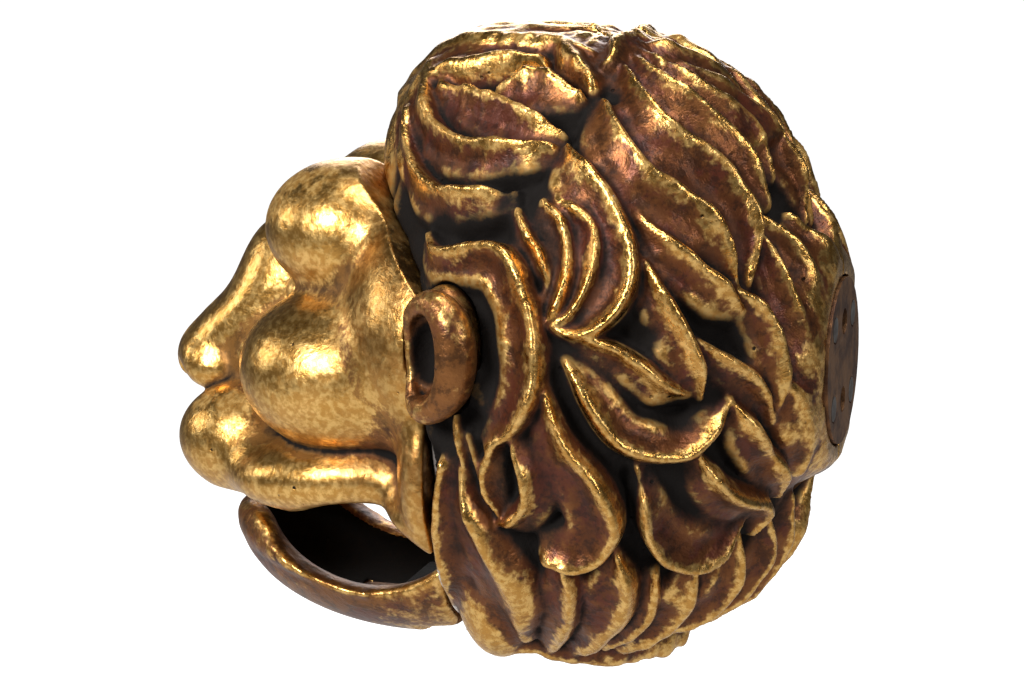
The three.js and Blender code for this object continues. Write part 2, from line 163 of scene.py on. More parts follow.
# Each lock is a line on the mane's ball, in degrees of longitude (0 is the lion's nose, 90 its left
# side, 180 the door) and latitude, from its root to its tip. Then come its half width along the way
# in millimetres, and where its crest lies across it, from -1 (right of travel) to +1 (left).
LOCKS = [
    # forelock and top of the head
    [((58, 59), (75, 62), (95, 60)), (3, 6, 3), 0.4],
    [((58, 70), (45, 66), (33, 60), (22, 52)), (4, 6, 6, 3), 0.4],
    [((95, 76), (60, 78), (30, 72), (12, 60), (6, 50)), (4, 7, 7, 6, 3), 0.4],
    [((35, 52), (50, 53.5), (65, 53.5), (80, 52), (92, 50.5)), (3, 4.5, 5, 4.5, 2.5), 0.45],
    [((20, 52), (32, 47), (45, 44.5), (60, 44), (75, 45), (90, 46.5)), (3, 4.5, 4.5, 4.5, 4.5, 3), 0.45],
    [((26, 44), (34, 40), (45, 36), (58, 34), (70, 35), (80, 37)), (3, 4, 4.5, 4.5, 4.5, 3.5), 0.45],
    [((105, 66), (95, 72), (80, 77), (60, 80)), (4, 6, 6, 3), 0.45],
    [((118, 70), (135, 76), (170, 79)), (4, 6, 4), 0.45],
    # round the ear
    [((56, 27), (62, 23.5), (68, 23.5), (75, 24.5), (82, 24), (87, 19), (90, 12), (90.5, 4), (87, -3),
      (81, -8)), (2.5, 4, 4.5, 5, 5.5, 5.5, 5.5, 5.5, 4.5, 2.5), 0.5],
    [((84, 34), (88, 29), (91.5, 26), (93.5, 22), (93, 18)), (2, 3, 3, 2.5, 1.5), 0.3],
    [((91, 36), (96, 32), (98, 27), (98, 22), (96, 17), (94, 14)), (2, 3.2, 3.2, 3.2, 3, 1.5), 0.3],
    [((95, 36), (101, 33), (104, 30), (104, 25), (102, 20), (99, 16), (95, 14.5)),
     (2, 3.5, 3.8, 3.8, 3.2, 2.5, 1.5), 0.4],
    # the big hooks behind the ear
    [((95, 48), (99, 42), (105, 36), (109.5, 30), (111, 24), (110, 19), (106, 15), (101, 13.5), (95, 14.5)),
     (2, 5, 6, 6, 6, 5, 4, 3, 1.5), 0.5],
    [((106, 61), (108, 52), (112, 45), (118, 39), (126, 35), (133, 31), (138, 26), (141, 19)),
     (2.5, 4.5, 6, 6.5, 6.5, 6, 4.5, 2), 0.5],
    [((118, 69), (120, 60), (123, 53), (129, 47), (137, 42), (143, 36.5), (147, 29), (145, 20)),
     (2.5, 4.5, 6, 7, 7, 6, 5, 2), 0.5],
    [((128, 71), (134, 62), (141, 55), (148, 48), (155, 41), (160, 33)), (2.5, 5, 5.5, 5.5, 5, 2), 0.5],
    [((138, 72), (147, 63), (155, 55), (163, 48), (168, 38)), (2.5, 4.5, 5, 5, 2), 0.5],
    [((155, 66), (167, 56), (175, 46), (178, 36), (177, 28)), (3, 5.5, 5.5, 5, 2), 0.5],
    [((140, 76), (160, 69), (178, 58)), (3, 6, 4), 0.5],
    # the middle band
    [((117, 33), (123, 27), (130, 22), (136, 18), (142, 14)), (2, 4.5, 5, 5, 2), 0.3],
    [((139, 19), (145, 14), (148.5, 8), (150, 2), (150, -5)), (2, 4.5, 5, 5, 2), 0.4],
    [((117, 25), (121, 17), (124.5, 11), (128, 5), (130, 0)), (2, 4.5, 5, 4.5, 1.8), 0.4],
    [((102, 11.5), (109, 9.5), (115, 6.5), (120, 3), (127, 0.5)), (1.8, 3.6, 4, 4, 1.8), 0.3],
    [((130, 10), (136, 5.5), (142, 2), (146, -2), (150, -7)), (1.8, 3.8, 4, 4, 1.8), 0.4],
    [((100, 8), (104.5, 3), (108.5, -2), (113, -6), (120, -8), (127, -8), (133, -5), (138, -0.5)),
     (1.8, 4, 4.6, 4.6, 4.6, 4.6, 4, 1.8), -0.1],
    [((137, -1), (142, -7), (148, -13), (154, -18), (158, -23)), (2, 4.8, 5, 5, 2.4), 0.4],
    [((129, -10), (133, -15.5), (139, -20), (146, -22.5), (152, -25), (153, -31)),
     (2, 4.5, 5, 5, 4.5, 2), 0.4],
    [((117, -12), (119.5, -18), (122, -24), (127, -28.5), (134, -30.5), (141, -30), (148, -26)),
     (2, 3.5, 5, 5.5, 5.5, 4.5, 2), -0.5],
    [((94, 5), (95.5, -2), (98.5, -8), (102.5, -13), (106, -18), (107, -23.5), (103, -28), (95, -29)),
     (2, 4, 5, 6, 6.5, 7, 6.5, 4), 0.45],
    [((89.5, -3), (90, -8), (92.5, -14), (92, -19), (87, -23.5), (81.5, -24.5)),
     (1.8, 3.4, 4.2, 4.2, 4, 2), -0.45],
    [((85, -8), (82, -12), (81.5, -17), (84, -22)), (1.5, 3, 3.2, 2), -0.4],
    [((147, 31), (151, 24), (153.5, 18), (156, 11), (159, 5), (162, -2)), (2, 4, 4.4, 4.4, 4, 1.8), 0.4],
    [((154, 31), (160, 24), (163, 17), (164, 10), (168, 3), (172, -4)), (2, 4.4, 5, 5, 4.4, 2), 0.4],
    [((167, 29), (173, 20), (176, 11), (175, 2)), (2.5, 6, 6, 2.5), 0.4],
    [((149, 3), (155, -4), (159, -10), (162, -18)), (2, 4.8, 5, 2.2), 0.4],
    [((164, 6), (170, -1), (173, -8), (171, -17)), (2, 5, 5, 2.2), 0.4],
    # the lower edge
    [((73, -14), (74, -21), (77, -29), (79.5, -37), (80, -44), (77, -53)), (2, 5, 8, 9, 8.5, 5), 0.2],
    [((96, -31), (97.5, -38), (95, -46), (89, -54), (83, -60)), (2, 4.5, 5.5, 5.5, 4), 0.3],
    [((111, -29), (112.5, -37), (110, -45), (104, -53), (95, -61)), (2, 6, 7.5, 7, 4), 0.3],
    [((123, -36), (122, -45), (117, -53), (108, -61)), (2, 4.2, 4.4, 3), 0.3],
    [((135, -35), (133, -44), (128, -52), (118, -61)), (2, 6, 6, 4), 0.3],
    [((148, -31), (149.5, -39), (146.5, -47), (137, -57)), (2, 5.2, 5.4, 3), 0.3],
    [((158, -28), (161, -36), (158, -45), (149, -54)), (2, 5.2, 5.4, 3), 0.3],
    [((168, -26), (171, -36), (169, -46), (162, -56)), (2, 5.4, 5.4, 3), 0.3],
    [((60, -56), (85, -66), (120, -70), (160, -68)), (4, 7, 7, 5), 0.3],
    # the strands beside the face
    [((72.5, 2), (73, -6), (74.5, -13), (76, -20)), (1.2, 1.8, 1.8, 1), 0.0],
    [((76, -7), (78, -13), (79.5, -20)), (1.2, 1.9, 1), 0.0],
    [((69, -14), (65, -27), (59, -40), (50, -50)), (3, 4.5, 5, 4), -0.2],
]

# Deep hollows drilled between the locks: place, radius and extra depth.
HOLLOWS = [
    (79, 39, 3.0, 4.0), (70, 29.5, 4.5, 2.5), (60, 30, 4.0, 2.5), (78, 30, 4.0, 2.0), (93, 21, 2.2, 2.0),
    (125, -3, 3.5, 2.0), (119, 12, 3.0, 2.0), (116, -15, 3.0, 2.0), (138, 10, 2.4, 1.5), (113, 62, 3.0, 2.0),
    (67, 6, 4.0, 1.5), (133, 24, 2.5, 1.0), (150, -12, 3.0, 1.5), (84, -28, 3.0, 1.5),
]

VALLEY_DEPTH = 8.6
FOOT = 1.55  # how far a lock's low side spreads, in half widths
MAP_STEP = 0.5
LOCK_SAMPLES = 56


def on_ball(lon, lat):
    """The point of the mane's ball at a longitude and latitude in degrees."""
    lon, lat = np.radians(lon), np.radians(lat)
    x = MANE_RADII[0] * np.cos(lat) * np.sin(lon)
    y = MANE_CENTRE[1] - MANE_RADII[1] * np.cos(lat) * np.cos(lon)
    z = MANE_RADII[2] * np.sin(lat)
    return np.stack([x, y, z], axis=-1)


def smooth_line(points, count):
    """A Catmull-Rom line through the points."""
    pts = np.array(points, float)
    pts = np.vstack([2 * pts[0] - pts[1], pts, 2 * pts[-1] - pts[-2]])
    place = np.linspace(0, len(pts) - 3 - 1e-9, count)
    i = place.astype(int)
    t = (place - i)[:, None]
    a, b, c, d = pts[i], pts[i + 1], pts[i + 2], pts[i + 3]
    return 0.5 * (2 * b + (c - a) * t + (2 * a - 5 * b + 4 * c - d) * t**2 + (3 * b - a - 3 * c + d) * t**3)


def lock_profile(across, crest):
    """A lock's height across itself: a broad shoulder that climbs to the crest, and a steep far side."""
    side = 1.0 if crest >= 0 else -1.0
    v = across * side
    peak = abs(crest)
    climb = np.clip((v + FOOT) / (FOOT + peak), 0, 1)
    shoulder = 1 - (1 - np.minimum(climb / 0.4, 1)) ** 2
    rise = 0.54 * shoulder + 0.46 * climb**4 - 0.1 * np.sin(math.pi * climb) ** 2
    drop = np.clip((v - peak) / (1.08 - peak), 0, 1)
    return np.where(v > peak, 1 - drop**2.2, rise) * (v > -FOOT) * (v < 1.08)


def paint_lock(height, cells, line, widths, crest):
    """Raises the height map under one lock."""
    path = on_ball(*smooth_line(line, LOCK_SAMPLES).T)
    centre = path.mean(0)
    reach = np.linalg.norm(path - centre, axis=1).max() + FOOT * max(widths) + 2
    near = np.flatnonzero(np.linalg.norm(cells - centre, axis=1) < reach)
    offsets = cells[near][:, None, :] - path[None]
    nearest = (offsets**2).sum(2).argmin(1)
    off = offsets[np.arange(len(near)), nearest]
    travel = np.gradient(path, axis=0)
    pace = np.linalg.norm(travel, axis=1, keepdims=True)
    travel /= pace
    out = (path - np.array(MANE_CENTRE)) / np.array(MANE_RADII) ** 2
    out /= np.linalg.norm(out, axis=1, keepdims=True)
    left = np.cross(out, travel)
    along = (off * travel[nearest]).sum(1)
    t = (nearest + np.clip(along / pace[nearest, 0], -0.5, 0.5)) / (LOCK_SAMPLES - 1)
    width = np.interp(t, np.linspace(0, 1, len(widths)), widths)
    past = np.where(nearest == 0, np.maximum(-along, 0), 0)
    past = np.where(nearest == LOCK_SAMPLES - 1, np.maximum(along, 0), past) / width
    across = (off * left[nearest]).sum(1) / width
    swell = np.minimum(2.6 + 1.15 * width, VALLEY_DEPTH) * np.sqrt(np.clip(1 - past**2, 0, 1))
    height[near] = np.maximum(height[near], swell * lock_profile(across, crest))


def undergrowth(lon, lat):
    """Low strands in the valleys, running down and back from the crown."""
    turn = np.radians(np.abs(lon))
    rise = np.radians(lat)
    wave = np.sin(13 * turn + 6 * np.sin(2.2 * rise + 0.4) + 1.3 * np.sin(5 * rise))
    return 2.2 * np.clip(wave, 0, 1) ** 0.7 * np.cos(rise) ** 0.5


def tool_marks(rng, shape):
    """Small uneven facets left by the gouge, in millimetres."""
    marks = rng.standard_normal(shape)
    for _ in range(30):
        marks = soften(marks)
    return 0.28 * marks / marks.std()


def relief_map():
    """Depth of the carving below the mane's ball, on a map of latitude and longitude."""
    rng = np.random.default_rng(SEED)
    lon = np.arange(-180, 180, MAP_STEP)
    lat = np.arange(-90, 90 + MAP_STEP, MAP_STEP)
    lat_map, lon_map = np.meshgrid(lat, lon, indexing="ij")
    cells = on_ball(lon_map, lat_map).reshape(-1, 3)
    height = undergrowth(lon_map, lat_map).reshape(-1)
    for line, widths, crest in LOCKS:
        paint_lock(height, cells, line, widths, crest)
        far = [(-a + rng.uniform(-1, 1), b + rng.uniform(-1, 1)) for a, b in line]
        paint_lock(height, cells, far, [w * rng.uniform(0.94, 1.06) for w in widths], -crest)
    depth = VALLEY_DEPTH - height
    for a, b, radius, extra in HOLLOWS:
        for side in (1, -1):
            away = np.linalg.norm(cells - on_ball(side * a, b), axis=1)
            depth += extra * np.exp(-((away / radius) ** 2))
    from_axis = np.hypot(cells[:, 0], cells[:, 2])
    at_back = cells[:, 1] > MANE_CENTRE[1]
    fade = np.clip((from_axis - PLATE_RADIUS - 3) / 16, 0, 1)
    depth = np.where(at_back, depth * fade * fade * (3 - 2 * fade), depth)
    front = np.clip((np.abs(lon_map.reshape(-1)) - 14) / 26, 0, 1)
    depth *= 0.4 + 0.6 * front * front * (3 - 2 * front)
    crown = np.clip((np.abs(cells[:, 0]) - 6) / 22, 0, 1)
    depth *= np.where(cells[:, 2] > 52, 0.35 + 0.65 * crown, 1)
    low = np.clip((-40 - cells[:, 2]) / 12, 0, 1)
    depth *= 1 - 0.3 * low
    depth += tool_marks(rng, lon_map.shape).reshape(-1)
    return soften(depth.reshape(lat_map.shape))


def soften(field):
    """One pass of a small blur that wraps round in longitude."""
    field = 0.5 * field + 0.25 * (np.roll(field, 1, 1) + np.roll(field, -1, 1))
    inner = 0.5 * field[1:-1] + 0.25 * (field[2:] + field[:-2])
    return np.vstack([field[:1], inner, field[-1:]])


def read_map(field, p, mask):
    """The map's value at the masked points of a grid."""
    x, y, z = (np.broadcast_to(a, mask.shape)[mask] for a in p)
    u = x / MANE_RADII[0]
    v = -(y - MANE_CENTRE[1]) / MANE_RADII[1]
    w = z / MANE_RADII[2]
    lon = np.degrees(np.arctan2(u, v))
    lat = np.degrees(np.arctan2(w, np.hypot(u, v)))
    column = (lon + 180) / MAP_STEP
    row = np.clip((lat + 90) / MAP_STEP, 0, field.shape[0] - 1.001)
    c0 = np.floor(column).astype(int)
    r0 = np.floor(row).astype(int)
    fc, fr = column - c0, row - r0
    c0 %= field.shape[1]
    c1 = (c0 + 1) % field.shape[1]
    low = field[r0, c0] * (1 - fc) + field[r0, c1] * fc
    high = field[r0 + 1, c0] * (1 - fc) + field[r0 + 1, c1] * fc
    return low * (1 - fr) + high * fr


# ---- the carved blocks ----

MANE_STEP = 0.7
FACE_STEP = 0.6
JAW_STEP = 0.5
EAR_STEP = 0.4


def anvil_room(p):
    """The slot for the anvil bar: level below the hammer, then up behind the plate."""
    level = box(p, (-6.5, -50.5, -46.4), (6.5, -24, -35.8))
    upright = box(p, (-6.5, -28, -46.4), (6.5, -3.8, -1.5))
    under = (-46.4 + (p[1] + 26) * 1.014 - p[2]) * 0.7
    over = np.minimum((p[2] + 36 - (p[1] + 28) * 0.86) * 0.76, -14.6 - p[1])
    return np.minimum(level, np.maximum(upright, np.maximum(under, over)))


def ear_sockets(p):
    """Room for both ears, with a gap round each."""
    x, y, z = EAR_CENTRE
    radii = [r + EAR_GAP for r in EAR_RADII]
    return both_sides(p, lambda q, s: ellipsoid(q, (s * x, y, z), radii))


def mane_field(p, relief):
    """The ball of hair with its relief, cut out for the hammer, the jaw, the plate and the ears."""
    ball = smooth_min(ellipsoid(p, MANE_CENTRE, MANE_RADII), ellipsoid(p, *FOREHEAD_BALL), 6.0)
    ball = np.broadcast_to(ball, np.broadcast_shapes(*(a.shape for a in p))).copy()
    mask = np.abs(ball) < 14
    ball[mask] += read_map(relief, p, mask)
    ball = smooth_max(ball, behind_face(p, 0), 2.0)
    (x, y, z), radii = LOCK_BESIDE_JAW
    for side in (1, -1):
        ball = smooth_min(ball, ellipsoid(p, (side * x, y, z), radii), 3.0)
    ball = np.maximum(ball, behind_face(p, 0))
    ball = np.maximum(ball, p[1] - BACK_Y)
    for low, high in (CHAMBER, THROAT, JAW_ROOM):
        ball = np.maximum(ball, -box(p, low, high))
    ball = np.maximum(ball, -anvil_room(p))
    ball = np.maximum(ball, -rod(p, 1, PLATE_RADIUS + PLATE_GAP, (0, -4.4, 0), (0, 20, 0)))
    ball = np.maximum(ball, -ear_sockets(p))
    for side in (1, -1):
        foot = sorted((side * 11.5, side * 24.5))
        ball = np.maximum(ball, -box(p, (foot[0], -90, -64.5), (foot[1], -78.6, -42.5)))
    return ball


def ear_field(p):
    """A cupped ear, open to the side, with a thin front edge and a thick rolled rim at the back."""
    x, y, z = EAR_CENTRE
    back = ellipsoid(p, (x - 3, y + 0.5, z), (6.5, 8, 14))
    rim = [
        (x + 0, y - 6.5, z - 5), (x + 0, y - 7, z + 2), (x + 2, y - 5.5, z + 8.5), (x + 4.5, y + 0, z + 11),
        (x + 6, y + 4.2, z + 7), (x + 6, y + 5.0, z), (x + 5.5, y + 3.6, z - 7), (x + 4, y - 1.5, z - 12),
        (x + 1.5, y - 5.5, z - 11), (x + 0, y - 6.5, z - 5),
    ]
    line = smooth_line(rim, 37)
    thick = np.interp(np.linspace(0, 9, 37), range(10), [0.8, 0.8, 1.6, 3.0, 4.2, 4.8, 4.5, 3.2, 1.6, 0.8])
    ear = smooth_min(back, tube(p, [tuple(a) for a in line], thick), 1.5)
    cup = ellipsoid(p, (x + 7, y - 2.6, z - 0.5), (9.5, 4.6, 9.2))
    return smooth_max(ear, -cup, 1.0)


def across_head(p, radius, y, z):
    """A rod that runs right across the head."""
    return rod(p, 0, radius, (-FAR, y, z), (FAR, y, z))


def face_field(p):
    """Brow, cheek, lips, nose and the skull behind them."""
    skull = ellipsoid(p, (0, -84, 7), (55, 31, 39))
    core = ellipsoid(p, (0, -122, -8), (19, 30, 24))
    brow = both_sides(p, lambda q, s: ellipsoid(q, (s * 18.5, -110.5, 28), (18, 20.5, 16)))
    cheek = both_sides(p, lambda q, s: ellipsoid(q, (s * 25, -109, -3.5), (23.5, 26, 19.5)))
    lip = both_sides(p, lambda q, s: ellipsoid(q, (s * 13, -138, -24.5), (14.5, 18.5, 14)))
    band = both_sides(p, lambda q, s: ellipsoid(q, (s * 25, -109, -27), (17.5, 29, 10.5), 0.12))
    corner = both_sides(p, lambda q, s: ellipsoid(q, (s * 40, -86, -35), (9, 9, 11)))
    bridge = ellipsoid(p, (0, -130, 12.5), (12, 15, 16))
    nose = ellipsoid(p, (0, -142, 2), (13, 24, 9.5), 0.63)
    lips = smooth_min(smooth_min(lip, band, 7.0), corner, 8.0)
    lips = smooth_min(lips, core, 3.0)
    upper = smooth_min(smooth_min(skull, cheek, 7.0), smooth_min(nose, bridge, 8.0), 3.0)
    upper = smooth_min(upper, brow, 5.5)
    pad = ellipsoid(p, (0, -153.8, -6.5), (12.5, 6.5, 6))
    wing = both_sides(p, lambda q, s: ellipsoid(q, (s * 9, -149.5, -9), (5.5, 7.5, 5.5)))
    upper = smooth_min(upper, smooth_min(pad, wing, 2.5), 3.0)
    jowl = both_sides(p, lambda q, s: ellipsoid(q, (s * 40, -84, -21), (14, 7.5, 20)))
    upper = smooth_min(upper, jowl, 5.0)
    face = smooth_min(upper, lips, 1.6)
    eye = both_sides(p, lambda q, s: ellipsoid(q, (s * 16.5, -123.5, 12.5), (5.6, 4.2, 4.0), 0.2))
    face = smooth_max(face, -(eye - 1.0), 1.0)
    face = smooth_min(face, eye, 0.4)
    nostril = both_sides(p, lambda q, s: ellipsoid(q, (s * 7, -158, -11), (3.6, 4, 2.4)))
    face = smooth_max(face, -nostril, 1.4)
    face = np.maximum(face, -behind_face(p, -JOINT_GAP))
    face = smooth_max(face, -box(p, (-FAR, -FAR, -FAR), (FAR, -96, -38)), 1.5)
    face = smooth_max(face, -box(p, (-33, -FAR, -FAR), (33, FAR, -36.5)), 1.5)
    face = smooth_max(face, -across_head(p, **MOUTH_ARCH), 2.5)
    face = np.maximum(face, -box(p, *THROAT))
    return np.maximum(face, -ear_sockets(p))


def jaw_field(p):
    """The hollow lower jaw, with its rim, chin fold and knuckle."""
    shell = ellipsoid(p, (0, -100, -45), (31, 46, 26))
    shell = smooth_max(shell, -across_head(p, radius=6.0, y=-143, z=-61.5), 3.0)
    bead = [(-28, -106, -54), (-24, -125, -50), (-13, -138, -46.5), (0, -142.5, -45),
            (13, -138, -46.5), (24, -125, -50), (28, -106, -54)]
    line = [tuple(a) for a in smooth_line(bead, 25)]
    shell = smooth_min(shell, tube(p, line, [2.8] * 25), 2.5)
    shell = smooth_max(shell, -ellipsoid(p, *JAW_HOLLOW), 1.5)
    shell = smooth_max(shell, -across_head(p, **JAW_RIM), 3.0)
    shell = smooth_max(shell, p[2] + 41.5, 3.0)
    shell = smooth_max(shell, p[1] + 86, 1.5)
    shell = np.maximum(shell, -box(p, (-17, -97, -FAR), (17, FAR, FAR)))
    shell = np.minimum(shell, box(p, (-11.5, -103, -66.4), (11.5, PIN_Y, -59)))
    shell = np.minimum(shell, rod(p, 0, 6.5, (-11.5, PIN_Y, PIN_Z), (11.5, PIN_Y, PIN_Z)))
    shell = np.maximum(shell, -rod(p, 0, 4.1, (-14, PIN_Y, PIN_Z), (14, PIN_Y, PIN_Z)))
    shell = np.maximum(shell, -box(p, (-4.3, -97, -FAR), (4.3, FAR, FAR)))
    shell = np.maximum(shell, -box(p, (-4.3, -116.3, -66.5), (4.3, PIN_Y - 7, -62.3)))
    return shell


# ---- meshes ----


def mesh_of(name, field, low, step, adaptivity=0.0):
    """A Blender mesh of the zero surface of a field sampled from low by step."""
    volume = openvdb.FloatGrid()
    volume.background = 3.0 * step
    volume.copyFromArray(np.clip(field, -3 * step, 3 * step).astype(np.float32))
    points, triangles, quads = volume.convertToPolygons(0.0, adaptivity)
    points = (points * step + np.array(low)) * MM
    mesh = bpy.data.meshes.new(name)
    mesh.from_pydata(points.tolist(), [], triangles.tolist() + quads.tolist())
    mesh.validate()
    mesh.shade_smooth()
    mesh.set_sharp_from_angle(angle=math.radians(55))
    return mesh


def smoothed(points, pairs, passes):
    """The points after that many passes of averaging with their neighbours."""
    count = len(points)
    ends = np.concatenate([pairs[:, 0], pairs[:, 1]])
    others = np.concatenate([pairs[:, 1], pairs[:, 0]])
    degree = np.maximum(np.bincount(ends, minlength=count), 1)[:, None]
    for _ in range(passes):
        around = [np.bincount(ends, points[others, i], minlength=count) for i in range(3)]
        points = 0.4 * points + 0.6 * np.stack(around, 1) / degree
    return points


def add_relief(mesh, fine_passes=8, broad_passes=70):
    """Stores how far each point stands out from a smoother surface, in millimetres, at two scales."""
    count = len(mesh.vertices)
    points = np.empty(count * 3, np.float32)
    mesh.vertices.foreach_get("co", points)
    points = points.reshape(-1, 3).astype(float)
    normals = np.empty(count * 3, np.float32)
    mesh.vertex_normals.foreach_get("vector", normals)
    normals = normals.reshape(-1, 3)
    pairs = np.empty(len(mesh.edges) * 2, np.int32)
    mesh.edges.foreach_get("vertices", pairs)
    pairs = pairs.reshape(-1, 2)
    fine = smoothed(points, pairs, fine_passes)
    broad = smoothed(fine, pairs, broad_passes - fine_passes)
    for name, other in (("fine_relief", fine), ("broad_relief", broad)):
        out = ((points - other) * normals).sum(1) / MM
        mesh.attributes.new(name, "FLOAT", "POINT").data.foreach_set("value", out.astype(np.float32))


def add_depth(mesh, depth_at):
    """Stores how deep each point is in the carving, in millimetres; depth_at takes three arrays."""
    points = np.empty(len(mesh.vertices) * 3, np.float32)
    mesh.vertices.foreach_get("co", points)
    x, y, z = points.reshape(-1, 3).T / MM
    depth = np.zeros(len(x), np.float32) + depth_at((x, y, z))
    mesh.attributes.new("depth", "FLOAT", "POINT").data.foreach_set("value", depth.astype(np.float32))


# Depths in the carving, which the gilt materials paint black as painted shade and wax: below the mane's
# ball, in the ear's cup and in the jaw's hollow.
def mane_depth(p):
    ball = smooth_min(ellipsoid(p, MANE_CENTRE, MANE_RADII), ellipsoid(p, *FOREHEAD_BALL), 6.0)
    return np.clip(-ball, 0, 12)


def ear_depth(p):
    x, y, z = EAR_CENTRE
    near = (np.abs(p[0]), p[1], p[2])
    cup = ellipsoid(near, (x + 7, y - 2.8, z - 0.5), (9.5, 4.4, 9.0))
    return np.where(cup < 0.6, np.clip(x + 6.5 - near[0], 0, 12), 0)


def jaw_depth(p):
    hollow = ellipsoid(p, *JAW_HOLLOW)
    return np.where(hollow < 0.6, np.clip(-36 - p[2], 0, 12), 0)


def no_depth(p):
    return 0 * p[0]


def carved(name, field, low, step, body, material, replaces, depth_at, adaptivity=0.0):
    """A carved piece in the place of CAD nodes."""
    mesh = mesh_of(name, field, low, step, adaptivity)
    add_relief(mesh)
    add_depth(mesh, depth_at)
    mesh.materials.append(material)
    piece = bpy.data.objects.new(name, mesh)
    bpy.context.scene.collection.objects.link(piece)
    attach(piece, body)
    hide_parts(*replaces)
    return piece


# ---- materials ----


class Nodes:
    """A small helper for building a node tree."""

    def __init__(self, name):
        self.material = bpy.data.materials.new(name)
        self.material.use_nodes = True
        self.tree = self.material.node_tree
        self.shader = self.tree.nodes["Principled BSDF"]
        self.place = self.tree.nodes.new("ShaderNodeTexCoord").outputs["Object"]

    def put(self, value, socket):
        if isinstance(value, bpy.types.NodeSocket):
            self.tree.links.new(value, socket)
        else:
            socket.default_value = value

    def noise(self, scale, detail=4.0, roughness=0.6, distortion=0.0, stretch=None):
        node = self.tree.nodes.new("ShaderNodeTexNoise")
        place = self.place
        if stretch:
            mapping = self.tree.nodes.new("ShaderNodeMapping")
            mapping.inputs["Scale"].default_value = stretch
            self.tree.links.new(place, mapping.inputs["Vector"])
            place = mapping.outputs["Vector"]
        self.tree.links.new(place, node.inputs["Vector"])
        node.inputs["Scale"].default_value = scale
        node.inputs["Detail"].default_value = detail
        node.inputs["Roughness"].default_value = roughness
        node.inputs["Distortion"].default_value = distortion
        return node.outputs["Fac"]

    def coordinate(self, axis):
        """The place along X, Y or Z, in metres."""
        node = self.tree.nodes.new("ShaderNodeSeparateXYZ")
        self.tree.links.new(self.place, node.inputs[0])
        return node.outputs[axis]

    def cells(self, scale, feature="F1"):
        node = self.tree.nodes.new("ShaderNodeTexVoronoi")
        node.feature = feature
        self.tree.links.new(self.place, node.inputs["Vector"])
        node.inputs["Scale"].default_value = scale
        return node.outputs["Distance"]

    def attribute(self, name):
        node = self.tree.nodes.new("ShaderNodeAttribute")
        node.attribute_name = name
        return node.outputs["Fac"]

    def math(self, operation, a, b=0.0):
        node = self.tree.nodes.new("ShaderNodeMath")
        node.operation = operation
        self.put(a, node.inputs[0])
        self.put(b, node.inputs[1])
        return node.outputs[0]

    def ramp(self, value, low, high):
        """0 at low and 1 at high, held beyond them."""
        node = self.tree.nodes.new("ShaderNodeMapRange")
        node.interpolation_type = "SMOOTHSTEP"
        self.put(value, node.inputs["Value"])
        node.inputs["From Min"].default_value = low
        node.inputs["From Max"].default_value = high
        return node.outputs["Result"]

    def mix(self, share, a, b):
        """Colours a and b mixed by share."""
        node = self.tree.nodes.new("ShaderNodeMix")
        node.data_type = "RGBA"
        self.put(share, node.inputs["Factor"])
        self.put((*a, 1) if isinstance(a, tuple) else a, node.inputs[6])
        self.put((*b, 1) if isinstance(b, tuple) else b, node.inputs[7])
        return node.outputs[2]

    def blend(self, share, a, b):
        """Values a and b mixed by share."""
        node = self.tree.nodes.new("ShaderNodeMix")
        self.put(share, node.inputs[0])
        self.put(a, node.inputs[2])
        self.put(b, node.inputs[3])
        return node.outputs[0]

    def bump(self, height, distance, strength=1.0, normal=None):
        node = self.tree.nodes.new("ShaderNodeBump")
        node.inputs["Distance"].default_value = distance
        node.inputs["Strength"].default_value = strength
        self.put(height, node.inputs["Height"])
        if normal is not None:
            self.put(normal, node.inputs["Normal"])
        return node.outputs["Normal"]

    def finish(self, colour, roughness, metallic, normal=None):
        self.put(colour, self.shader.inputs["Base Color"])
        self.put(roughness, self.shader.inputs["Roughness"])
        self.put(metallic, self.shader.inputs["Metallic"])
        if normal is not None:
            self.put(normal, self.shader.inputs["Normal"])
        return self.material


LEAF = (0.58, 0.30, 0.07)
LEAF_PALE = (0.88, 0.55, 0.18)
BRONZE = (0.30, 0.118, 0.036)
BROWN = (0.098, 0.026, 0.012)
BOLE = (0.075, 0.010, 0.010)
# black of the wax in the hollows, and of the painted shade there
WAX_AND_SHADE = (0.012, 0.010, 0.009)
GESSO = (0.55, 0.50, 0.46)


def seam_chips(n):
    """White gesso where leaf has flaked off along the joint with the face, below the ears."""
    ragged = n.math("MULTIPLY", n.math("SUBTRACT", n.noise(150.0, 4.0, 0.7), 0.5), 0.006)
    from_seam = n.math("SUBTRACT", n.coordinate(1), (FACE_PLANE_Y + 0.6) * MM)
    beside = n.math("ABSOLUTE", n.math("ADD", from_seam, ragged))
    beside = n.math("SUBTRACT", 1.0, n.ramp(beside, 0.0003, 0.0008))
    flaked = n.ramp(n.noise(110.0, 3.0, 0.6), 0.46, 0.52)
    below_ear = n.math("SUBTRACT", 1.0, n.ramp(n.coordinate(2), -0.020, -0.012))
    return n.math("MULTIPLY", beside, n.math("MULTIPLY", flaked, below_ear))


